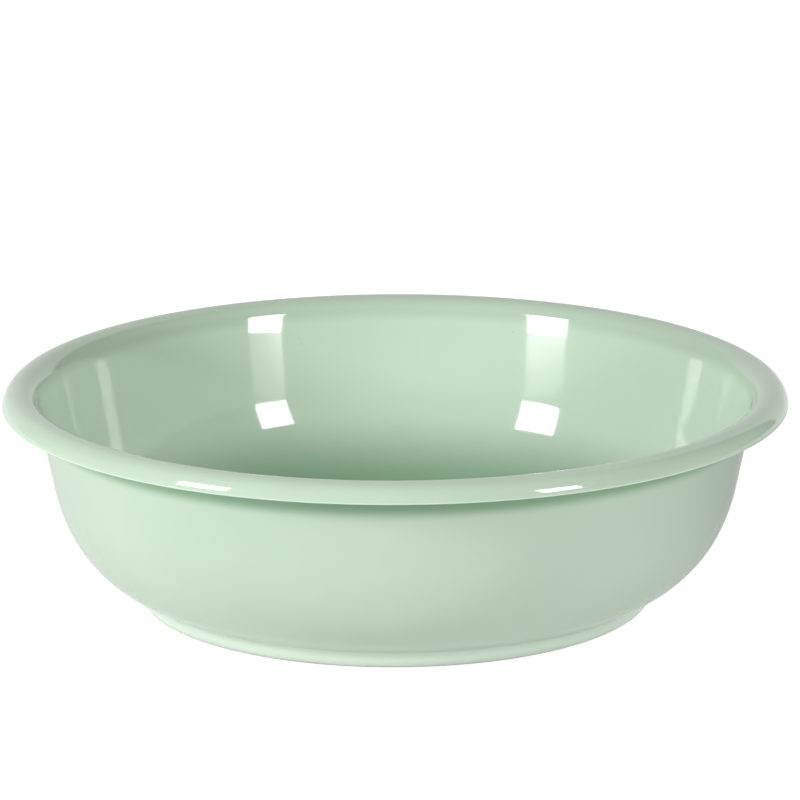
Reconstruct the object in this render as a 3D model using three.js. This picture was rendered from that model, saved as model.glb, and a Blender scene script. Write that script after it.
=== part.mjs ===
// An enamelled sheet-steel hand basin: a deep-drawn bowl with a rolled rim, welded to a foot ring,
// under separate fired coats. Millimetres and degrees, +Z up, standing on z = 0 about the Z axis.
import * as THREE from "three";

// The bowl, measured on its enamelled faces
const RIM_DIAMETER = 360;
const OVERALL_HEIGHT = 101.6;
const RIM_ROLL_RADIUS = 8.3;
const WALL_DRAFT = 12.5;
const WALL_TURN_RADIUS = 60.8;
const FLOOR_CLEARANCE = 3.1;

// The foot, measured on its enamelled faces
const FOOT_DIAMETER = 236.8;
const FOOT_CORNER_RADIUS = 5.7;
const FOOT_FILLET_LEG = 1;
const STANDING_FLANGE_WIDTH = 7;
const GREEN_COAT_END = 60;

// Sheet, coats and the clearances between them
const BOWL_STEEL = 0.6;
const FOOT_STEEL = 0.8;
const COVER_COAT = 0.35;
const GROUND_COAT = 0.3;
const BOND_GAP = 0.05;
const COAT_JOINT = 0.3;

// The share of the fillet's arc by which each tip of the weld bead stops short
const WELD_TIP = 0.2;

// The edging coat round the rim's cut edge, as arcs of the roll either side of its widest point
const EDGING_ABOVE = 4;
const EDGING_BELOW = 2;
const EDGING_CAP = 0.35;

// Facets
const SEGMENTS = 40;
const FLOOR_STEPS = 2;
const WALL_STEPS = 5;
const ROLL_STEPS = 3;
const GREEN_STEPS = 2;
const DARK_STEPS = 1;
const FILLET_STEPS = 2;

// Layers of the bowl's wall, as depths below its inside face
const STEEL_TOP = COVER_COAT + BOND_GAP;
const STEEL_UNDER = STEEL_TOP + BOWL_STEEL;
const OUTSIDE_COAT = STEEL_UNDER + BOND_GAP;
const SHEET = OUTSIDE_COAT + COVER_COAT;

// Layers of the foot's wall, as depths below its outside face
const RING_OUTSIDE = COVER_COAT + BOND_GAP;
const RING_INSIDE = RING_OUTSIDE + FOOT_STEEL;
const GROUND_INSIDE = RING_INSIDE + BOND_GAP;
const FOOT_WALL = GROUND_INSIDE + GROUND_COAT;

const radians = THREE.MathUtils.degToRad;
const draft = radians(WALL_DRAFT);

// Centre of the rim's roll, then of the turn from wall to floor, which the wall touches as a tangent
const roll = new THREE.Vector2(RIM_DIAMETER / 2 - RIM_ROLL_RADIUS, OVERALL_HEIGHT - RIM_ROLL_RADIUS);
const turn = turnCentre();

// The foot's lower corner and standing flange
const footRadius = FOOT_DIAMETER / 2;
const footHeight = undersideHeight(SHEET, footRadius);
const cornerRadius = Math.min(FOOT_CORNER_RADIUS, footHeight - FOOT_FILLET_LEG);
const corner = new THREE.Vector2(footRadius - cornerRadius, cornerRadius);
const flangeEnd = corner.x - STANDING_FLANGE_WIDTH;

// The fillet between the foot and the wall, which reaches one leg down the foot's side
const seatAngle = Math.acos(Math.max(footRadius - turn.x, 0) / (WALL_TURN_RADIUS + SHEET));
const filletRadius = FOOT_FILLET_LEG / Math.tan(seatAngle / 2);
const fillet = filletCentre();

// Ends of the layers on the rim's roll: the edging coat, the coats that meet it and the steel in it
const edgingTop = radians(EDGING_ABOVE);
const edgingEnd = -radians(EDGING_BELOW);
const coatEnd = edgingTop + BOND_GAP / RIM_ROLL_RADIUS;
const steelEnd = edgingEnd + (EDGING_CAP + BOND_GAP) / RIM_ROLL_RADIUS;

// Angles that every layer of the bowl shares, so that neighbours stay parallel
const footAngle = Math.atan2(fillet.y - turn.y, fillet.x - turn.x);
const floorAngles = spaced(-Math.PI / 2, footAngle, FLOOR_STEPS);
const wallAngles = spaced(footAngle, -draft, WALL_STEPS);
const rollTop = Math.PI / 2;
const rollFall = spaced(rollTop, coatEnd, ROLL_STEPS).slice(1);
const rollAngles = [...spaced(Math.PI - draft, rollTop, ROLL_STEPS), ...rollFall];

// Angles round the foot's corner that its layers share, from its side to its base
const greenEnd = -radians(GREEN_COAT_END);
const greenAngles = spaced(0, greenEnd, GREEN_STEPS);
const darkAngles = spaced(greenEnd, -Math.PI / 2, DARK_STEPS).slice(1);
const cornerAngles = [...greenAngles, ...darkAngles];

const steel = { color: 0x8d9296, roughness: 0.45, metalness: 1 };
const green = { color: 0xc0dbc2, roughness: 0.12, metalness: 0 };
const groundCoat = { color: 0x2b3330, roughness: 0.35, metalness: 0 };

function turnCentre() {
  const z = FLOOR_CLEARANCE + SHEET + WALL_TURN_RADIUS;
  const reach = RIM_ROLL_RADIUS + WALL_TURN_RADIUS;
  const along = (z - roll.y - reach * Math.sin(draft)) / Math.cos(draft);
  const r = roll.x - reach * Math.cos(draft) + along * Math.sin(draft);
  return new THREE.Vector2(r, z);
}

// Height of the bowl's face at a depth below the inside, where it passes over a radius
function undersideHeight(depth, radius) {
  const out = Math.max(radius - turn.x, 0);
  return turn.y - Math.sqrt((WALL_TURN_RADIUS + depth) ** 2 - out ** 2);
}

function filletCentre() {
  const r = footRadius + filletRadius;
  return new THREE.Vector2(r, undersideHeight(SHEET + filletRadius, r));
}

// Evenly spaced angles, both ends included
function spaced(from, to, steps) {
  return Array.from({ length: steps + 1 }, (_, i) => from + ((to - from) * i) / steps);
}

// Points of the section on a circle, at angles counted from the +r direction
function onCircle(centre, radius, angles) {
  const point = (angle) => new THREE.Vector2(Math.cos(angle), Math.sin(angle));
  return angles.map((angle) => point(angle).multiplyScalar(radius).add(centre));
}

function onTurn(depth, angles) {
  return onCircle(turn, WALL_TURN_RADIUS + depth, angles);
}

function onRoll(depth, angles) {
  return onCircle(roll, RIM_ROLL_RADIUS - depth, angles);
}

function floorCentre(depth) {
  return new THREE.Vector2(0, turn.y - WALL_TURN_RADIUS - depth);
}

// One face of the bowl, from the axis across the floor, up the straight wall and over the rim
function bowlFace(depth, rollEnds) {
  const turned = onTurn(depth, [...floorAngles, ...wallAngles.slice(1)]);
  return [floorCentre(depth), ...turned, ...onRoll(depth, [...rollAngles, ...rollEnds])];
}

// The foot's lower corner at a depth below its outside face
function onCorner(depth, angles) {
  return onCircle(corner, cornerRadius - depth, angles);
}

function filletArc(depth, trim) {
  const angles = spaced(footAngle + Math.PI + trim, Math.PI - trim, FILLET_STEPS);
  return onCircle(fillet, filletRadius + depth, angles);
}

// A ring or a bowl turned about Z from its closed section
function revolved(name, finish, section) {
  const onAxis = section[0].x === 0;
  const outline = onAxis ? section : [...section, section[0].clone()];
  const facing = THREE.ShapeUtils.area(section) > 0 ? outline : outline.reverse();
  const geometry = new THREE.LatheGeometry(facing, SEGMENTS);
  geometry.rotateX(Math.PI / 2);
  const mesh = new THREE.Mesh(geometry, new THREE.MeshStandardMaterial(finish));
  mesh.name = name;
  return mesh;
}

// A sheet or coat between two faces that run the same way
function layer(name, finish, underFace, upperFace) {
  return revolved(name, finish, [...underFace, ...upperFace.reverse()]);
}

function bowlPressing() {
  const under = bowlFace(STEEL_UNDER, [steelEnd]);
  return layer("bowl_pressing", steel, under, bowlFace(STEEL_TOP, [steelEnd]));
}

function insideEnamel() {
  return layer("inside_enamel", green, bowlFace(COVER_COAT, []), bowlFace(0, []));
}

// The outside coat starts just above the foot's fillet
function outsideEnamel() {
  const start = footAngle + COAT_JOINT / WALL_TURN_RADIUS;
  const angles = [start, ...wallAngles.slice(1)];
  const face = (depth) => [...onTurn(depth, angles), ...onRoll(depth, rollAngles)];
  return layer("outside_enamel", green, face(SHEET), face(OUTSIDE_COAT));
}

// A channel over the cut edge of the rolled sheet
function rimEdgeEnamel() {
  const slotEnd = edgingEnd + EDGING_CAP / RIM_ROLL_RADIUS;
  const section = [
    ...onRoll(0, [edgingTop, 0, edgingEnd]),
    ...onRoll(SHEET, [edgingEnd, edgingTop]),
    ...onRoll(OUTSIDE_COAT, [edgingTop, slotEnd]),
    ...onRoll(COVER_COAT, [slotEnd, edgingTop]),
  ];
  return revolved("rim_edge_enamel", green, section);
}

// One face of the foot ring, from its seat under the bowl round the corner to the flange's end
function ringFace(depth) {
  const radius = footRadius - depth;
  const seat = new THREE.Vector2(radius, undersideHeight(STEEL_UNDER, radius) - BOND_GAP);
  const end = new THREE.Vector2(flangeEnd, depth);
  return [seat, ...onCorner(depth, cornerAngles), end];
}

function footRing() {
  return layer("foot_ring", steel, ringFace(RING_OUTSIDE), ringFace(RING_INSIDE));
}

function footWeld() {
  const bead = filletArc(RING_OUTSIDE, -footAngle * WELD_TIP);
  const root = new THREE.Vector2(footRadius - RING_OUTSIDE + BOND_GAP, 0);
  root.y = undersideHeight(STEEL_UNDER, root.x) - BOND_GAP;
  return revolved("foot_weld", steel, [...bead, root]);
}

function footEnamel() {
  const face = (depth) => [...filletArc(depth, 0), ...onCorner(depth, greenAngles)];
  return layer("foot_enamel", green, face(0), face(COVER_COAT));
}

// The dark coat runs from the corner under the flange, round its end and up inside the ring
function footGroundCoat() {
  const start = greenEnd - BOND_GAP / cornerRadius;
  const upward = cornerAngles.toReversed();
  const endOf = (clear, depth) => new THREE.Vector2(flangeEnd - clear, depth);
  const topOf = (depth) => {
    const radius = footRadius - depth;
    return new THREE.Vector2(radius, undersideHeight(SHEET, radius) - COAT_JOINT);
  };
  const wrap = BOND_GAP + GROUND_COAT;
  const outer = [
    ...onCorner(0, [start, ...darkAngles]),
    endOf(wrap, 0),
    endOf(wrap, FOOT_WALL),
    ...onCorner(FOOT_WALL, upward),
    topOf(FOOT_WALL),
  ];
  const inner = [
    ...onCorner(COVER_COAT, [start, ...darkAngles]),
    endOf(BOND_GAP, COVER_COAT),
    endOf(BOND_GAP, GROUND_INSIDE),
    ...onCorner(GROUND_INSIDE, upward),
    topOf(GROUND_INSIDE),
  ];
  return layer("foot_ground_coat", groundCoat, outer, inner);
}

// The coat under the floor, which ends just inside the foot ring
function baseEnamel() {
  const reach = footRadius - FOOT_WALL - COAT_JOINT - turn.x;
  const end = Math.asin(reach / (WALL_TURN_RADIUS + SHEET)) - Math.PI / 2;
  const angles = [...floorAngles.filter((angle) => angle < end), end];
  const face = (depth) => [floorCentre(depth), ...onTurn(depth, angles)];
  return layer("base_enamel", green, face(SHEET), face(OUTSIDE_COAT));
}

const basin = new THREE.Group();
basin.add(bowlPressing(), insideEnamel(), outsideEnamel(), rimEdgeEnamel());
basin.add(footRing(), footWeld(), footEnamel(), footGroundCoat(), baseEnamel());

export default basin;
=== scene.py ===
import math

import bmesh
import bpy
from mathutils import Matrix, Vector


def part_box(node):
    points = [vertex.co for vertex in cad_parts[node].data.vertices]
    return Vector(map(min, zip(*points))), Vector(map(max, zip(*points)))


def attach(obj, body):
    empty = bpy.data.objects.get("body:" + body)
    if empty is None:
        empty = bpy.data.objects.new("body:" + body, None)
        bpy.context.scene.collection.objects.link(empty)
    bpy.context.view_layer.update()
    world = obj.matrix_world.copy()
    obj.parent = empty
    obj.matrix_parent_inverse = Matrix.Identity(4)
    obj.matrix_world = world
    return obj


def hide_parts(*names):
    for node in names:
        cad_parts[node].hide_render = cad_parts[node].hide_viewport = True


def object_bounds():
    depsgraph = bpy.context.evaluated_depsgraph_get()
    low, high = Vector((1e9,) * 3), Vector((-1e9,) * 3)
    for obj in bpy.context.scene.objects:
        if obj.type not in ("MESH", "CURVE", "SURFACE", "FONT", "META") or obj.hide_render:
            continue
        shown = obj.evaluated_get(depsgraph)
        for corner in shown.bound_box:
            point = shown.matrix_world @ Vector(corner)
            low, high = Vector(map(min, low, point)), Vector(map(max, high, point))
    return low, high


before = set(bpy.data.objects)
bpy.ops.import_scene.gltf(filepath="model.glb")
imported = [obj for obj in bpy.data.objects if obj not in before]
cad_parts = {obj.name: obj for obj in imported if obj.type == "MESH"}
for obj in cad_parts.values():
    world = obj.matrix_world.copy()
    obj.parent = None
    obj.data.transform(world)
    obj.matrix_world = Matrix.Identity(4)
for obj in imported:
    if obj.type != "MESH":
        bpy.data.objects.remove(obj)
cad_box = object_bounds()

# Bowl pressing: one blank of cold-rolled steel, deep drawn in a press to a flat floor, a large
# turn and a leaning wall that flares a little just below the top, with its edge rolled over to an
# open half-round rim. It is pickled before enamelling, and every face of it ends up under a coat.
MM = 0.001
ROLL_RADIUS = 8.3 * MM
UPPER_TURN = 79.8 * MM
LOWER_TURN = 59.3 * MM
TURN_CHANGE = math.radians(25.5)
WALL_LEAN = math.radians(11.66)
FLARE_LEAN = math.radians(15.74)
FLARE_RADIUS = 112 * MM
COAT = 0.35 * MM
BOWL_STEEL = 0.6 * MM
BOND_GAP = 0.05 * MM
SHEET = 2 * COAT + 2 * BOND_GAP + BOWL_STEEL
RIM_STEEL_END = math.radians(3)
ARC_STEP = math.radians(2.5)
FLARE_STEP = math.radians(0.4)
FLOOR_RINGS = 8
TURN_STEPS = 200
WELD_DISTANCE = 0.0001 * MM
CREASE = math.radians(40)
STEEL_GREY = "#8d9296"
STEEL_PALE = "#a3a8ab"
ROLLING_GRAIN = 0.4 * MM
GRAIN_STRETCH = 0.06
SHEET_SMOOTH = 0.38
SHEET_DULL = 0.55

floor_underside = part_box("base_enamel")[0].z
floor_top = floor_underside + SHEET
roll_centre = Vector((cad_box[1].x - ROLL_RADIUS, cad_box[1].z - ROLL_RADIUS))
flare_side = Vector((math.cos(FLARE_LEAN), -math.sin(FLARE_LEAN)))
flare_centre = roll_centre + (FLARE_RADIUS - ROLL_RADIUS) * flare_side
wall_side = Vector((math.cos(WALL_LEAN), -math.sin(WALL_LEAN)))
change_side = Vector((math.cos(TURN_CHANGE), -math.sin(TURN_CHANGE)))
change_step = (UPPER_TURN - LOWER_TURN) * change_side
reach = flare_centre.dot(wall_side) - FLARE_RADIUS - UPPER_TURN + change_step.dot(wall_side)
lower_height = floor_top + LOWER_TURN
floor_edge = (reach + lower_height * math.sin(WALL_LEAN)) / math.cos(WALL_LEAN)
lower_centre = Vector((floor_edge, lower_height))
upper_centre = lower_centre - change_step


def arc(centre, radius, start, end, step=ARC_STEP):
    """Points (r, z) on a circle of the section, both ends included."""
    count = max(2, math.ceil(abs(end - start) / step))
    angles = [start + (end - start) * i / count for i in range(count + 1)]
    return [centre + radius * Vector((math.cos(a), math.sin(a))) for a in angles]


def floor_face(depth):
    """The flat floor at a depth below the bowl's inside, from the axis to just before the turn."""
    height = floor_top - depth
    return [Vector((lower_centre.x * i / FLOOR_RINGS, height)) for i in range(FLOOR_RINGS)]


def turn_face(depth, start):
    """The turn from floor to wall at a depth below the bowl's inside, from an angle on its lower arc."""
    lower = arc(lower_centre, LOWER_TURN + depth, start, -TURN_CHANGE)
    return lower + arc(upper_centre, UPPER_TURN + depth, -TURN_CHANGE, -WALL_LEAN)[1:]


def rim_face(depth, roll_end):
    """The flare and the rim's roll at a depth below the bowl's inside, up to an angle on the roll."""
    flare_start = math.pi - WALL_LEAN
    flare_end = math.pi - FLARE_LEAN
    flare = arc(flare_centre, FLARE_RADIUS - depth, flare_start, flare_end, FLARE_STEP)
    return flare + arc(roll_centre, ROLL_RADIUS - depth, flare_end, roll_end)


def bowl_face(depth, roll_end):
    """A face of the bowl at a depth below its inside, from the axis to an angle on the rim's roll."""
    return floor_face(depth) + turn_face(depth, -math.pi / 2) + rim_face(depth, roll_end)


def turned(name, section, material):
    """A piece turned about Z from its section, which is closed or starts and ends on the axis."""
    shape = bmesh.new()
    points = [shape.verts.new((p.x, 0, p.y)) for p in section]
    lines = [shape.edges.new(pair) for pair in zip(points, points[1:])]
    if section[0].x > 0:
        lines.append(shape.edges.new((points[-1], points[0])))
    bmesh.ops.spin(shape, geom=points + lines, cent=(0, 0, 0), axis=(0, 0, 1),
                   angle=2 * math.pi, steps=TURN_STEPS, use_merge=True)
    bmesh.ops.remove_doubles(shape, verts=shape.verts, dist=WELD_DISTANCE)
    bmesh.ops.recalc_face_normals(shape, faces=shape.faces)
    mesh = bpy.data.meshes.new(name)
    shape.to_mesh(mesh)
    shape.free()
    mesh.shade_smooth()
    mesh.set_sharp_from_angle(angle=CREASE)
    mesh.materials.append(material)
    piece = bpy.data.objects.new(name, mesh)
    bpy.context.scene.collection.objects.link(piece)
    return piece


def linear(colour):
    """A colour written as sRGB hex, as linear RGBA by the sRGB curve."""
    channels = [int(colour[i:i + 2], 16) / 255 for i in (1, 3, 5)]
    return [c / 12.92 if c <= 0.04045 else ((c + 0.055) / 1.055) ** 2.4 for c in channels] + [1]


def add(tree, kind, inputs=None, **settings):
    """A node with its settings, and with each input set to a value or linked to another node's output."""
    node = tree.nodes.new(kind)
    for name, value in settings.items():
        setattr(node, name, value)
    for socket, value in (inputs or {}).items():
        if isinstance(value, bpy.types.NodeSocket):
            tree.links.new(value, node.inputs[socket])
        else:
            node.inputs[socket].default_value = value
    return node


def bare_tree(owner):
    """The owner's node tree, emptied."""
    owner.use_nodes = True
    owner.node_tree.nodes.clear()
    return owner.node_tree


# The colour sockets of a Mix node, by number, because its other data types have the same names.
MIX_A = 6
MIX_B = 7
MIXED = 2

# Pickled cold-rolled sheet: acid leaves an even, dull grey metal with a faint grain from rolling.
pickled_sheet = bpy.data.materials.new("pickled_cold_rolled_steel")
tree = bare_tree(pickled_sheet)
place = add(tree, "ShaderNodeTexCoord")
stretch = add(tree, "ShaderNodeMapping",
              {"Vector": place.outputs["Object"], "Scale": (1, GRAIN_STRETCH, 1)})
grain = add(tree, "ShaderNodeTexNoise",
            {"Vector": stretch.outputs[0], "Scale": 1 / ROLLING_GRAIN, "Detail": 3})
tone = add(tree, "ShaderNodeMix",
           {0: grain.outputs[0], MIX_A: linear(STEEL_GREY), MIX_B: linear(STEEL_PALE)}, data_type="RGBA")
dull = add(tree, "ShaderNodeMapRange",
           {"Value": grain.outputs[0], "To Min": SHEET_SMOOTH, "To Max": SHEET_DULL})
steel = add(tree, "ShaderNodeBsdfPrincipled",
            {"Base Color": tone.outputs[MIXED], "Roughness": dull.outputs[0], "Metallic": 1})
add(tree, "ShaderNodeOutputMaterial", {"Surface": steel.outputs[0]})

steel_top = COAT + BOND_GAP
steel_under = steel_top + BOWL_STEEL
section = bowl_face(steel_under, RIM_STEEL_END) + bowl_face(steel_top, RIM_STEEL_END)[::-1]
bowl_steel = turned("bowl_steel", section, pickled_sheet)
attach(bowl_steel, "root")
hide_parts("bowl_pressing")

# Foot ring: a strip of slightly heavier steel, pressed to a ring with a rounded lower corner and
# a flange turned in to stand on. Its upper edge is seated against the underside of the bowl.
FOOT_RADIUS = 118.4 * MM
FOOT_CORNER = 5.7 * MM
FOOT_STEEL = 0.8 * MM
FLANGE = 7 * MM
CORNER_STEP = math.radians(6)

corner_centre = Vector((FOOT_RADIUS - FOOT_CORNER, FOOT_CORNER))
flange_end = corner_centre.x - FLANGE
ring_outside = COAT + BOND_GAP
ring_inside = ring_outside + FOOT_STEEL


def under_bowl(depth, radius):
    """Height of the bowl's face at a depth below its inside, over a radius."""
    out = max(radius - lower_centre.x, 0)
    return lower_centre.y - math.sqrt((LOWER_TURN + depth) ** 2 - out**2)


def foot_corner(depth, start, end):
    """The foot's lower corner at a depth below its outside, between angles below the horizontal."""
    return arc(corner_centre, FOOT_CORNER - depth, -start, -end, CORNER_STEP)


def ring_face(depth):
    """A face of the ring, from its seat under the bowl round the corner to the flange's end."""
    radius = FOOT_RADIUS - depth
    seat = Vector((radius, under_bowl(steel_under, radius) - BOND_GAP))
    return [seat] + foot_corner(depth, 0, math.pi / 2) + [Vector((flange_end, depth))]


section = ring_face(ring_outside) + ring_face(ring_inside)[::-1]
foot_ring_steel = turned("foot_ring_steel", section, pickled_sheet)
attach(foot_ring_steel, "root")
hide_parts("foot_ring")

# Weld bead: the seam that joins the ring to the bowl, run round the outside of the joint and
# dressed with a wheel to a small hollow fillet, so that the coat runs over it without a step. The
# fillet is a circle that touches the bowl's underside and the foot's corner.
FILLET_RADIUS = 6 * MM
FILLET_STEP = math.radians(8)
BEAD_TIP = 0.2
DRESSING_MARK = 0.8 * MM
WELD_SMOOTH = 0.25
WELD_DULL = 0.5

from_bowl = LOWER_TURN + SHEET + FILLET_RADIUS
from_corner = FOOT_CORNER + FILLET_RADIUS
between = corner_centre - lower_centre
along = (from_bowl**2 - from_corner**2 + between.length**2) / (2 * between.length)
across = math.sqrt(from_bowl**2 - along**2)
way = between.normalized()
fillet_centre = lower_centre + along * way + across * Vector((-way.y, way.x))
foot_angle = math.atan2(fillet_centre.y - lower_centre.y, fillet_centre.x - lower_centre.x)
corner_angle = math.atan2(fillet_centre.y - corner_centre.y, fillet_centre.x - corner_centre.x)


def fillet(depth, short):
    """The fillet from the bowl's face to the foot's corner, stopping short by an angle at each end."""
    start = foot_angle + math.pi + short
    end = corner_angle + math.pi - short
    return arc(fillet_centre, FILLET_RADIUS + depth, start, end, FILLET_STEP)


# Dressed weld metal: a bright ground surface with short wheel marks.
dressed_weld = bpy.data.materials.new("dressed_steel_weld")
tree = bare_tree(dressed_weld)
place = add(tree, "ShaderNodeTexCoord")
marks = add(tree, "ShaderNodeTexNoise",
            {"Vector": place.outputs["Object"], "Scale": 1 / DRESSING_MARK, "Detail": 5})
tone = add(tree, "ShaderNodeMix",
           {0: marks.outputs[0], MIX_A: linear(STEEL_GREY), MIX_B: linear(STEEL_PALE)}, data_type="RGBA")
dull = add(tree, "ShaderNodeMapRange",
           {"Value": marks.outputs[0], "To Min": WELD_SMOOTH, "To Max": WELD_DULL})
steel = add(tree, "ShaderNodeBsdfPrincipled",
            {"Base Color": tone.outputs[MIXED], "Roughness": dull.outputs[0], "Metallic": 1})
add(tree, "ShaderNodeOutputMaterial", {"Surface": steel.outputs[0]})

weld_root = Vector((FOOT_RADIUS - ring_outside + BOND_GAP, 0))
weld_root.y = under_bowl(steel_under, weld_root.x) - BOND_GAP
section = fillet(ring_outside, -foot_angle * BEAD_TIP) + [weld_root]
weld_bead = turned("weld_bead", section, dressed_weld)
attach(weld_bead, "root")
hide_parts("foot_weld")

# Ground coat of the foot: the first, dark coat, which bonds to the steel. It is dipped, and it
# stays bare on the standing edge and inside the ring, where the basin was wiped before its
# cover coat so that it would not stick to the furnace's supports.
# The green ends this far round the foot's corner, so the dark ground coat shows as a fine line there. The
# line is partly the bare standing edge and partly painted shade for the contact shadow.
GREEN_END = math.radians(60)
GROUND_COAT = 0.3 * MM
COAT_JOINT = 0.3 * MM
GROUND_DARK = "#232b28"
GROUND_WORN = "#4a524e"
GROUND_MOTTLE = 3 * MM
WORN_FROM = 0.45
WORN_TO = 0.75
GROUND_PEEL = 0.7 * MM
GROUND_PEEL_HEIGHT = 0.012 * MM
GROUND_SMOOTH = 0.28
GROUND_DULL = 0.45
GROUND_IOR = 1.5

ground_inside = ring_inside + BOND_GAP
foot_wall = ground_inside + GROUND_COAT
flange_wrap = flange_end - BOND_GAP

# Fired ground coat: a thin dark glass, satin because it holds fine bubbles, mottled by the steel.
ground_glass = bpy.data.materials.new("fired_ground_coat_enamel")
tree = bare_tree(ground_glass)
place = add(tree, "ShaderNodeTexCoord")
mottle = add(tree, "ShaderNodeTexNoise",
             {"Vector": place.outputs["Object"], "Scale": 1 / GROUND_MOTTLE, "Detail": 4})
patch = add(tree, "ShaderNodeMapRange",
            {"Value": mottle.outputs[0], "From Min": WORN_FROM, "From Max": WORN_TO})
tone = add(tree, "ShaderNodeMix",
           {0: patch.outputs[0], MIX_A: linear(GROUND_DARK), MIX_B: linear(GROUND_WORN)}, data_type="RGBA")
satin = add(tree, "ShaderNodeMapRange",
            {"Value": mottle.outputs[0], "To Min": GROUND_SMOOTH, "To Max": GROUND_DULL})
peel = add(tree, "ShaderNodeTexNoise",
           {"Vector": place.outputs["Object"], "Scale": 1 / GROUND_PEEL, "Detail": 2})
bump = add(tree, "ShaderNodeBump", {"Height": peel.outputs[0], "Distance": GROUND_PEEL_HEIGHT})
glass = add(tree, "ShaderNodeBsdfPrincipled",
            {"Base Color": tone.outputs[MIXED], "Roughness": satin.outputs[0], "IOR": GROUND_IOR,
             "Normal": bump.outputs[0]})
add(tree, "ShaderNodeOutputMaterial", {"Surface": glass.outputs[0]})


def ground_face(depth, wrap, inner_depth):
    """A face of the ground coat: under corner and flange, round the flange's end, up inside the ring."""
    start = GREEN_END + BOND_GAP / FOOT_CORNER
    end = flange_wrap - wrap
    radius = FOOT_RADIUS - inner_depth
    top = Vector((radius, under_bowl(SHEET, radius) - COAT_JOINT))
    under = foot_corner(depth, start, math.pi / 2) + [Vector((end, depth)), Vector((end, inner_depth))]
    return under + foot_corner(inner_depth, math.pi / 2, 0) + [top]


section = ground_face(0, GROUND_COAT, foot_wall) + ground_face(COAT, 0, ground_inside)[::-1]
foot_ground = turned("foot_ground", section, ground_glass)
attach(foot_ground, "root")
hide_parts("foot_ground_coat")

# Inside coat: the mint green cover coat on the floor, the inner wall and the top of the rim. It
# is a sprayed slip of glass frit, dried and fired, so that it melts to one smooth opaque glaze.
# The inside's colours: a light mint for the walls, lighter than the outside coat as painted light, and
# darker tones low down and over the rim as painted shade.
MINT_INSIDE_LIT = "#d0e4cf"
MINT_RIM_SHADED = "#c1d6c0"
MINT_FLOOR_SHADED = "#abccad"
MINT_PAINTED_SHADE = "#92b996"
DEEPEST_SHADE_HEIGHT = 14 * MM
WALL_FROM = 48 * MM
WALL_TO = 90 * MM
ROLL_FROM = 96 * MM
MOTTLE = 45 * MM
MOTTLE_DARK = 0.95
SPECK = "#9db39f"
SPECK_SPACING = 24 * MM
SPECK_CORE = 0.2 * MM
SPECK_EDGE = 0.4 * MM
SPECK_STRENGTH = 0.6
PEEL = 2.5 * MM
PEEL_HEIGHT = 0.0012 * MM
WAVE = 30 * MM
WAVE_HEIGHT = 0.012 * MM
GLAZE_SMOOTH = 0.048
GLAZE_DULL = 0.072
GLAZE_IOR = 1.55
COVER_END = math.radians(4.35)


# Fired vitreous enamel: an opaque coloured glass. It gives clear reflections with a slight wave, a faint
# unevenness of tone where the coat is thicker or thinner, and very few fine specks. Its colour goes with
# height, and that carries painted shade: a deeper green low inside the bowl and under the rim, and a greyer
# tone over the rim's roll.
def fired_mint(name, bands):
    """The mint enamel in a colour that goes with height. Each band is a height and the colour there."""
    enamel = bpy.data.materials.new(name)
    tree = bare_tree(enamel)
    place = add(tree, "ShaderNodeTexCoord")
    mottle = add(tree, "ShaderNodeTexNoise",
                 {"Vector": place.outputs["Object"], "Scale": 1 / MOTTLE, "Detail": 3})
    uneven = add(tree, "ShaderNodeMapRange",
                 {"Value": mottle.outputs[0], "To Min": MOTTLE_DARK, "To Max": 1})
    axes = add(tree, "ShaderNodeSeparateXYZ", {"Vector": place.outputs["Object"]})
    low = bands[0][0]
    high = bands[-1][0]
    share = add(tree, "ShaderNodeMapRange", {"Value": axes.outputs["Z"], "From Min": low, "From Max": high})
    height_tone_and_shade = add(tree, "ShaderNodeValToRGB", {0: share.outputs[0]})
    ramp = height_tone_and_shade.color_ramp
    ramp.interpolation = "EASE"
    for _ in bands[2:]:
        ramp.elements.new(1)
    for stop, (height, colour) in zip(ramp.elements, bands):
        stop.position = (height - low) / (high - low)
        stop.color = linear(colour)
    tone = add(tree, "ShaderNodeMix", {0: 1, MIX_A: height_tone_and_shade.outputs[0], MIX_B: uneven.outputs[0]},
               data_type="RGBA", blend_type="MULTIPLY")
    cells = add(tree, "ShaderNodeTexVoronoi",
                {"Vector": place.outputs["Object"], "Scale": 1 / SPECK_SPACING})
    speck = add(tree, "ShaderNodeMapRange",
                {"Value": cells.outputs["Distance"], "From Min": SPECK_CORE / SPECK_SPACING,
                 "From Max": SPECK_EDGE / SPECK_SPACING, "To Min": SPECK_STRENGTH, "To Max": 0})
    colour = add(tree, "ShaderNodeMix",
                 {0: speck.outputs[0], MIX_A: tone.outputs[MIXED], MIX_B: linear(SPECK)}, data_type="RGBA")
    gloss = add(tree, "ShaderNodeMapRange",
                {"Value": mottle.outputs[0], "To Min": GLAZE_SMOOTH, "To Max": GLAZE_DULL})
    wave = add(tree, "ShaderNodeTexNoise",
               {"Vector": place.outputs["Object"], "Scale": 1 / WAVE, "Detail": 1})
    waved = add(tree, "ShaderNodeBump", {"Height": wave.outputs[0], "Distance": WAVE_HEIGHT})
    peel = add(tree, "ShaderNodeTexNoise",
               {"Vector": place.outputs["Object"], "Scale": 1 / PEEL, "Detail": 1})
    peeled = add(tree, "ShaderNodeBump",
                 {"Height": peel.outputs[0], "Distance": PEEL_HEIGHT, "Normal": waved.outputs[0]})
    glass = add(tree, "ShaderNodeBsdfPrincipled",
                {"Base Color": colour.outputs[MIXED], "Roughness": gloss.outputs[0], "IOR": GLAZE_IOR,
                 "Normal": peeled.outputs[0]})
    add(tree, "ShaderNodeOutputMaterial", {"Surface": glass.outputs[0]})
    return enamel


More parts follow.
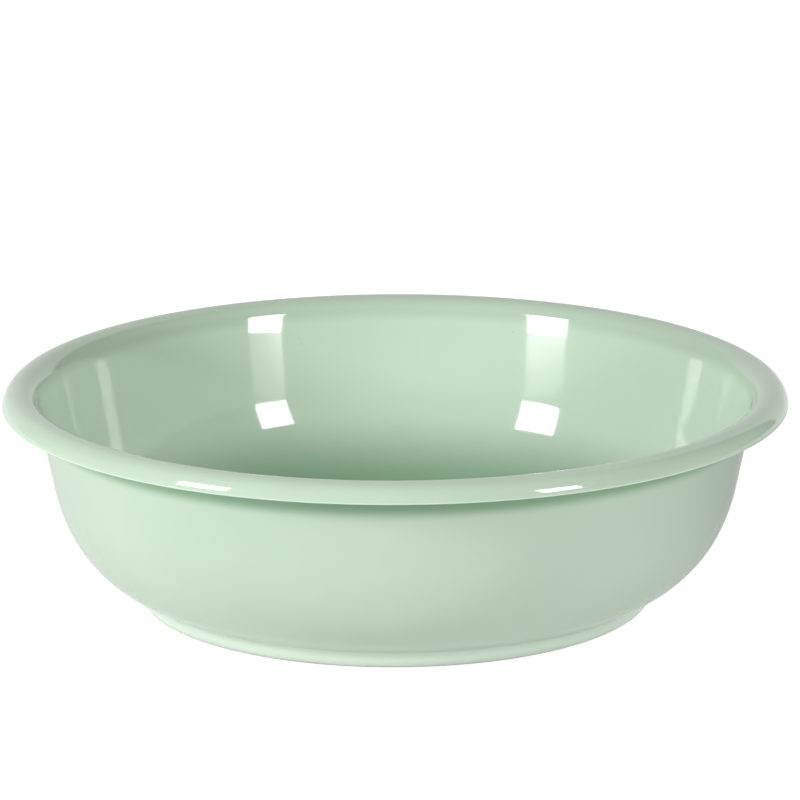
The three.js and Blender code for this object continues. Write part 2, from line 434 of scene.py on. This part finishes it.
# Painted light and shade on the inside. The mint is darkest low in the turn and a little lighter on the
# floor, as painted shade for the bowl's shaded depths. Up the wall it is lighter than the outside coat, as
# painted light. Over the rim's roll it is greyer, as painted shade on its top.
inside_bands = [(floor_top, MINT_FLOOR_SHADED), (DEEPEST_SHADE_HEIGHT, MINT_PAINTED_SHADE), (WALL_FROM, MINT_INSIDE_LIT)]
inside_bands += [(WALL_TO, MINT_INSIDE_LIT), (ROLL_FROM, MINT_RIM_SHADED)]
inside_mint = fired_mint("fired_vitreous_enamel_mint_inside", inside_bands)
section = bowl_face(COAT, COVER_END) + bowl_face(0, COVER_END)[::-1]
inside_coat = turned("inside_coat", section, inside_mint)
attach(inside_coat, "root")
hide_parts("inside_enamel")

# Outside coat: the same mint cover coat on the outer wall and under the rolled rim, sprayed and fired with
# the inside one, in a tone a little darker than the inside's painted-light tone. It runs down to the foot's
# fillet, and its green deepens under the rim as painted shade, for the shadow that the rim's roll casts.
MINT_OUTSIDE = "#c3d7c3"
OUTER_WALL_TO = 80.5 * MM
UNDER_RIM_SHADE_FROM = 86.5 * MM
COAT_SEAM = 0.03 * MM

# The deeper green under the rim is painted shade for the roll's cast shadow.
outside_bands = [(OUTER_WALL_TO, MINT_OUTSIDE), (UNDER_RIM_SHADE_FROM, MINT_PAINTED_SHADE)]
outside_mint = fired_mint("fired_vitreous_enamel_mint_outside", outside_bands)
outside_depth = steel_under + BOND_GAP
outside_start = foot_angle + COAT_SEAM / LOWER_TURN


def outside_face(depth):
    """A face of the outside coat, from the foot's fillet up the wall and round under the rim."""
    return turn_face(depth, outside_start) + rim_face(depth, COVER_END)


section = outside_face(SHEET) + outside_face(outside_depth)[::-1]
outside_coat = turned("outside_coat", section, outside_mint)
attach(outside_coat, "root")
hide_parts("outside_enamel")

# Rim edging: a band of cover coat brushed round the cut edge of the rolled sheet by itself,
# because slip runs thin on a sharp edge. It fires to a small rounded bead, a little paler.
EDGING_TOP = math.radians(4)
EDGING_END = math.radians(-2)
BEAD_STEP = math.radians(20)
# The foot coat uses this paler mint too, and there it is painted light from the bright floor in front.
MINT_EDGE = "#dbeadb"

edge_bands = [(0, MINT_EDGE), (cad_box[1].z, MINT_EDGE)]
edge_mint = fired_mint("fired_vitreous_enamel_mint_edge", edge_bands)
bead_radius = SHEET / 2
bead_path = ROLL_RADIUS - bead_radius
bead_angle = EDGING_END + bead_radius / bead_path
bead_centre = roll_centre + bead_path * Vector((math.cos(bead_angle), math.sin(bead_angle)))
slot_end = RIM_STEEL_END - BOND_GAP / ROLL_RADIUS


def on_roll(depth, angle):
    """A point of the rim's roll at a depth below its outside."""
    return roll_centre + (ROLL_RADIUS - depth) * Vector((math.cos(angle), math.sin(angle)))


bead = arc(bead_centre, bead_radius, bead_angle, bead_angle - math.pi, BEAD_STEP)
channel = [on_roll(outside_depth, EDGING_TOP), on_roll(outside_depth, slot_end)]
channel += [on_roll(COAT, slot_end), on_roll(COAT, EDGING_TOP)]
section = [on_roll(0, EDGING_TOP)] + bead + [on_roll(SHEET, EDGING_TOP)] + channel
rim_edging = turned("rim_edging", section, edge_mint)
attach(rim_edging, "root")
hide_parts("rim_edge_enamel")

# Foot coat: the mint cover coat over the dressed weld and the foot's side, drawn in the rim edging's paler
# mint, which here is painted light from the bright floor in front. It stops part of the way round the lower
# corner and leaves a fine dark line of ground coat below, which is partly the bare standing edge and partly
# painted shade for the contact shadow along the foot's lower edge.


def foot_coat_face(depth):
    """A face of the foot coat, from the top of the fillet down to where the green ends."""
    return fillet(depth, 0) + foot_corner(depth, -corner_angle, GREEN_END)[1:]


section = foot_coat_face(0) + foot_coat_face(COAT)[::-1]
foot_coat = turned("foot_coat", section, edge_mint)
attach(foot_coat, "root")
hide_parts("foot_enamel")

# Base coat: the mint cover coat on the underside of the floor, inside the foot ring. It is sprayed
# and fired with the outside one, and stops just short of the ground coat inside the ring.
base_reach = FOOT_RADIUS - foot_wall - COAT_JOINT - lower_centre.x
base_end = math.asin(base_reach / (LOWER_TURN + SHEET)) - math.pi / 2


def base_face(depth):
    """A face of the base coat, from the axis to just inside the foot ring."""
    return floor_face(depth) + arc(lower_centre, LOWER_TURN + depth, -math.pi / 2, base_end)


section = base_face(SHEET) + base_face(outside_depth)[::-1]
base_coat = turned("base_coat", section, outside_mint)
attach(base_coat, "root")
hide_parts("base_enamel")

# Studio floor: a sweep of white paper. The camera sees it white, with a trace of the basin's soft shadow.
# The glaze mirrors it lit white behind the basin. A patch of it to the right is painted dark grey as shade,
# so the glaze mirrors it dark there and it gives less light back to the basin. Its light falls back on the
# basin.
PAPER_RADIUS = 3
PAPER_SIDES = 64
FLOOR_GAP = 0.1 * MM
PAPER_WHITE = "#e1e1df"
PAPER_PAINTED_SHADE = "#4a4a4a"
SHADE_AT = Vector((0.45, 0.08, 0))
SHADE_INSIDE = 0.2
SHADE_OUTSIDE = 0.34
PAPER_SEEN = "#7c7c7c"
SEEN_GLOW = 0.92
GLOW_NEAR = 0.25
GLOW_FAR = 0.7
FLOOR_GLOW = 0.08
MIRRORED_GLOW = 0.32
SWEEP_GLOW = 0.6
SWEEP_LIT_FROM = 0.15
SWEEP_LIT_TO = 0.6

# White paper: matt, so it scatters light evenly and shows tone without glare.
white_paper = bpy.data.materials.new("white_paper_sweep")
tree = bare_tree(white_paper)
ray = add(tree, "ShaderNodeLightPath")
mirror_ray = add(tree, "ShaderNodeMath",
                 {0: ray.outputs["Is Glossy Ray"], 1: ray.outputs["Is Transmission Ray"]}, operation="ADD")
place = add(tree, "ShaderNodeTexCoord")
away = add(tree, "ShaderNodeVectorMath", {0: place.outputs["Object"]}, operation="LENGTH")
glow = add(tree, "ShaderNodeMapRange",
           {"Value": away.outputs["Value"], "From Min": GLOW_NEAR, "From Max": GLOW_FAR,
            "To Min": SEEN_GLOW, "To Max": 1})
seen_glow = add(tree, "ShaderNodeEmission", {"Strength": glow.outputs[0]})
seen_shade = add(tree, "ShaderNodeBsdfDiffuse", {"Color": linear(PAPER_SEEN)})
seen = add(tree, "ShaderNodeAddShader", {0: seen_glow.outputs[0], 1: seen_shade.outputs[0]})
to_shade = add(tree, "ShaderNodeVectorMath",
               {0: place.outputs["Object"], 1: SHADE_AT}, operation="DISTANCE")
shade = add(tree, "ShaderNodeMapRange",
            {"Value": to_shade.outputs["Value"], "From Min": SHADE_INSIDE, "From Max": SHADE_OUTSIDE,
             "To Min": 1, "To Max": 0})
# Painted shade: the paper's colour goes to dark grey in a patch to the right of the basin.
tone = add(tree, "ShaderNodeMix",
           {0: shade.outputs[0], MIX_A: linear(PAPER_WHITE), MIX_B: linear(PAPER_PAINTED_SHADE)}, data_type="RGBA")
paper = add(tree, "ShaderNodeBsdfDiffuse", {"Color": tone.outputs[MIXED]})
axes = add(tree, "ShaderNodeSeparateXYZ", {"Vector": place.outputs["Object"]})
sweep = add(tree, "ShaderNodeMapRange",
            {"Value": axes.outputs["Y"], "From Min": SWEEP_LIT_FROM, "From Max": SWEEP_LIT_TO,
             "To Min": MIRRORED_GLOW, "To Max": SWEEP_GLOW})
sweep_seen = add(tree, "ShaderNodeMix",
                 {"Factor": mirror_ray.outputs[0], "A": FLOOR_GLOW, "B": sweep.outputs[0]})
sweep_glow = add(tree, "ShaderNodeEmission", {"Strength": sweep_seen.outputs[0]})
unseen = add(tree, "ShaderNodeAddShader", {0: paper.outputs[0], 1: sweep_glow.outputs[0]})
both = add(tree, "ShaderNodeMixShader",
           {0: ray.outputs["Is Camera Ray"], 1: unseen.outputs[0], 2: seen.outputs[0]})
add(tree, "ShaderNodeOutputMaterial", {"Surface": both.outputs[0]})

shape = bmesh.new()
bmesh.ops.create_circle(shape, cap_ends=True, radius=PAPER_RADIUS, segments=PAPER_SIDES)
mesh = bpy.data.meshes.new("paper_floor")
shape.to_mesh(mesh)
shape.free()
mesh.materials.append(white_paper)
paper_floor = bpy.data.objects.new("paper_floor", mesh)
paper_floor.location.z = -FLOOR_GAP
bpy.context.scene.collection.objects.link(paper_floor)

# Studio light: two softboxes in front, to the left and the right, of which the left is the key, each
# over a dim skirt. The boxes show as bright squares in the glaze of the back wall, above and below,
# and the skirts as the pale stripes between them. Angles are in degrees, as seen from the basin.
AIM = Vector((0, 0, 0.08))
SOFTBOX_DISTANCE = 1.6
LEFT_AZIMUTH = -54.8
LEFT_WIDTH = 14.4
LEFT_ROLL = 5
RIGHT_AZIMUTH = 46.1
RIGHT_WIDTH = 11.7
SKIRT_HEIGHT = 4


def softbox(name, azimuth, elevation, width, height, power, roll=0):
    """A softbox that faces the basin. Its azimuth counts from the front, and is positive towards +X."""
    side = math.radians(azimuth)
    rise = math.radians(elevation)
    out = Vector((math.sin(side) * math.cos(rise), -math.cos(side) * math.cos(rise), math.sin(rise)))
    lamp = bpy.data.lights.new(name, "AREA")
    lamp.shape = "RECTANGLE"
    lamp.size = 2 * SOFTBOX_DISTANCE * math.tan(math.radians(width) / 2)
    lamp.size_y = 2 * SOFTBOX_DISTANCE * math.tan(math.radians(height) / 2)
    lamp.energy = power
    box = bpy.data.objects.new(name, lamp)
    facing = out.to_track_quat("Z", "Y").to_matrix().to_4x4()
    rolled = facing @ Matrix.Rotation(math.radians(roll), 4, "Z")
    box.matrix_world = Matrix.Translation(AIM + SOFTBOX_DISTANCE * out) @ rolled
    box.visible_camera = False
    bpy.context.scene.collection.objects.link(box)


softbox("left_softbox", LEFT_AZIMUTH, elevation=17.8, width=LEFT_WIDTH, height=18.4, power=17.4,
        roll=LEFT_ROLL)
softbox("right_softbox", RIGHT_AZIMUTH, elevation=17.6, width=RIGHT_WIDTH, height=16, power=10.2)
softbox("left_skirt", LEFT_AZIMUTH, elevation=6.6, width=LEFT_WIDTH, height=SKIRT_HEIGHT, power=0.16,
        roll=LEFT_ROLL)
softbox("right_skirt", RIGHT_AZIMUTH, elevation=7.6, width=RIGHT_WIDTH, height=SKIRT_HEIGHT, power=0.19)

# Room: fill from the front, the left and overhead, and a lit backdrop low behind. In reflections the
# backdrop is white between two upright edges, and the room beside it goes from pale on the left to
# dark on the right. The camera sees white all round.
FRONT_FILL = 0.78
LEFT_FILL = 0.12
TOP_FILL = 0.8
TOP_START = 0.8
BACK_LOW = 3.7
LOW_END = 0.1
HIGH_START = 0.5
DROP_RIGHT = math.radians(53)
DROP_LEFT = math.radians(130)
DROP_EDGE = 0.02
DROP_TOP = 0.75
ROOM_LEFT = 0.6
ROOM_RIGHT = 0
FADE_FROM = -0.3
FADE_TO = 0.5

room = bpy.data.worlds.new("studio_room")
bpy.context.scene.world = room
tree = bare_tree(room)
ray = add(tree, "ShaderNodeLightPath")
mirror_ray = add(tree, "ShaderNodeMath",
                 {0: ray.outputs["Is Glossy Ray"], 1: ray.outputs["Is Transmission Ray"]}, operation="ADD")
place = add(tree, "ShaderNodeTexCoord")
axes = add(tree, "ShaderNodeSeparateXYZ", {"Vector": place.outputs["Generated"]})
front = add(tree, "ShaderNodeMapRange", {"Value": axes.outputs["Y"], "From Max": -1, "To Max": FRONT_FILL})
left = add(tree, "ShaderNodeMapRange", {"Value": axes.outputs["X"], "From Max": -1, "To Max": LEFT_FILL})
back = add(tree, "ShaderNodeMapRange", {"Value": axes.outputs["Y"], "To Max": BACK_LOW})
sides = add(tree, "ShaderNodeMath", {0: front.outputs[0], 1: left.outputs[0]}, operation="ADD")
overhead = add(tree, "ShaderNodeMapRange",
               {"Value": axes.outputs["Z"], "From Min": TOP_START, "To Max": TOP_FILL})
above = add(tree, "ShaderNodeMath", {0: sides.outputs[0], 1: overhead.outputs[0]}, operation="ADD")
height = add(tree, "ShaderNodeMapRange",
             {"Value": axes.outputs["Z"], "From Min": LOW_END, "From Max": HIGH_START})
level = add(tree, "ShaderNodeMix",
            {"Factor": height.outputs[0], "A": back.outputs[0], "B": above.outputs[0]})
lit = add(tree, "ShaderNodeBackground", {"Strength": level.outputs[0]})
right_edge = add(tree, "ShaderNodeVectorMath",
                 {0: place.outputs["Generated"], 1: (-math.sin(DROP_RIGHT), math.cos(DROP_RIGHT), 0)},
                 operation="DOT_PRODUCT")
left_edge = add(tree, "ShaderNodeVectorMath",
                {0: place.outputs["Generated"], 1: (math.sin(DROP_LEFT), -math.cos(DROP_LEFT), 0)},
                operation="DOT_PRODUCT")
inside = add(tree, "ShaderNodeMath",
             {0: right_edge.outputs["Value"], 1: left_edge.outputs["Value"]}, operation="MINIMUM")
drop = add(tree, "ShaderNodeMapRange",
           {"Value": inside.outputs[0], "From Min": -DROP_EDGE, "From Max": DROP_EDGE})
top = add(tree, "ShaderNodeMapRange",
          {"Value": axes.outputs["Z"], "From Min": DROP_TOP, "From Max": 1, "To Min": 1, "To Max": 0})
white_drop = add(tree, "ShaderNodeMath", {0: drop.outputs[0], 1: top.outputs[0]}, operation="MULTIPLY")
beside = add(tree, "ShaderNodeMapRange",
             {"Value": axes.outputs["X"], "From Min": FADE_FROM, "From Max": FADE_TO,
              "To Min": ROOM_LEFT, "To Max": ROOM_RIGHT})
shown = add(tree, "ShaderNodeMix", {"Factor": white_drop.outputs[0], "A": beside.outputs[0], "B": 1})
mirrored = add(tree, "ShaderNodeBackground", {"Strength": shown.outputs[0]})
white = add(tree, "ShaderNodeBackground", {"Strength": 1})
unseen = add(tree, "ShaderNodeMixShader",
             {0: mirror_ray.outputs[0], 1: lit.outputs[0], 2: mirrored.outputs[0]})
both = add(tree, "ShaderNodeMixShader",
           {0: ray.outputs["Is Camera Ray"], 1: unseen.outputs[0], 2: white.outputs[0]})
add(tree, "ShaderNodeOutputWorld", {"Surface": both.outputs[0]})

# Camera: a long lens, almost 3 m in front of the basin and a little above it, which looks down at
# about 15 degrees. It frames the basin at the photograph's angle.
CAMERA_AT = Vector((0.00217, -2.78766, 0.81649))
CAMERA_PITCH = math.radians(75.457)
CAMERA_ROLL = math.radians(-0.15)
LENS = 282.57

lens = bpy.data.cameras.new("studio_camera")
lens.lens = LENS
camera = bpy.data.objects.new("studio_camera", lens)
turn = Matrix.Rotation(CAMERA_PITCH, 4, "X") @ Matrix.Rotation(CAMERA_ROLL, 4, "Z")
camera.matrix_world = Matrix.Translation(CAMERA_AT) @ turn
bpy.context.scene.collection.objects.link(camera)
bpy.context.scene.camera = camera
bpy.context.scene.view_settings.view_transform = "Standard"
